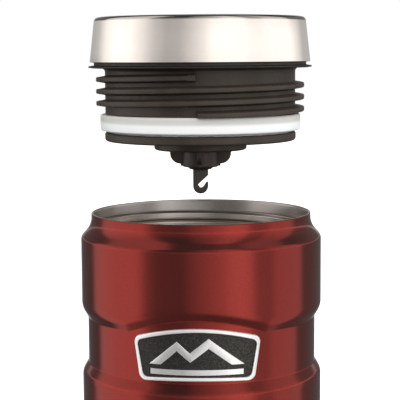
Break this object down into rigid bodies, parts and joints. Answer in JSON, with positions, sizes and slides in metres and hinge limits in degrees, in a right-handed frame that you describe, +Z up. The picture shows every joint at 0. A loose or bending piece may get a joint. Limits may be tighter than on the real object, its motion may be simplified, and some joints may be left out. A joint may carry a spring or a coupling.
{
  "type": "insulated water bottle",
  "caption": "Vacuum insulated steel tumbler with a waist and badge, and a screw-on drinking lid with a twist valve, seals and tea hook, lifted off.",
  "frame": {"origin": "centre of the flat face that the flask stands on", "axes": "+Z up along the flask and lid axis, badge towards -Y, +X to the right of someone who looks at the badge"},
  "size_m": [0.073, 0.073, 0.2486],
  "materials": {
    "lacquer": "deep red translucent lacquer over steel, glossy",
    "vessel_steel": "satin steel, turned marks round the axis",
    "foil": "bright copper-coloured foil",
    "getter": "dull grey",
    "base_steel": "satin steel",
    "foot_rubber": "matt black",
    "badge_dark": "dark gunmetal with a fine speckle",
    "badge_chrome": "polished",
    "gasket_rubber": "matt black",
    "rim_steel": "fine brushing round the axis",
    "lid_plastic": "satin dark brown-black",
    "silicone": "milky translucent",
    "knob_plastic": "satin dark brown-black",
    "pad_rubber": "soft touch, matt",
    "clip_steel": "spring steel",
    "stem_plastic": "natural white plastic",
    "hook_plastic": "satin dark brown-black"
  },
  "bodies": {
    "flask": {"outer_shell": "lacquer", "inner_vessel": "vessel_steel", "foil_shield": "foil", "getter": "getter", "shell_base": "base_steel", "vacuum_plug": "getter", "base_cover": "base_steel", "foot_ring": "foot_rubber", "badge_plate": "badge_dark", "badge_frame": "badge_chrome", "badge_emblem": "badge_chrome"},
    "gasket": {"rim_gasket": "gasket_rubber"},
    "lid": {"drink_rim": "rim_steel", "lid_collar": "lid_plastic", "lid_core": "lid_plastic", "lid_seal": "silicone"},
    "knob": {"twist_knob": "knob_plastic", "grip_pad": "pad_rubber", "stem_ring": "gasket_rubber", "knob_clip": "clip_steel"},
    "valve": {"valve_stem": "stem_plastic", "valve_disc": "lid_plastic", "valve_gasket": "silicone", "hook_nut": "lid_plastic", "tea_hook": "hook_plastic"}
  },
  "joints": [
    {"name": "lid_travel", "type": "slide", "parent": "flask", "child": "gasket", "axis": [0, 0, 1], "range_m": [-0.0433, 0]},
    {"name": "lid_turn", "type": "hinge", "parent": "gasket", "child": "lid", "pos_m": [0, 0, 0.2335], "axis": [0, 0, 1], "range_deg": [-4385.92, 0]},
    {"name": "knob_turn", "type": "hinge", "parent": "lid", "child": "knob", "pos_m": [0, 0, 0.2335], "axis": [0, 0, 1], "range_deg": [0, 90]},
    {"name": "valve_travel", "type": "slide", "parent": "lid", "child": "valve", "axis": [0, 0, -1], "range_m": [0, 0.0025]}
  ],
  "couplings": [
    {"joint": "lid_travel", "follows": "lid_turn", "m_per_rad": 0.000565},
    {"joint": "knob_turn", "follows": "valve_travel", "rad_per_m": 628.32}
  ]
}
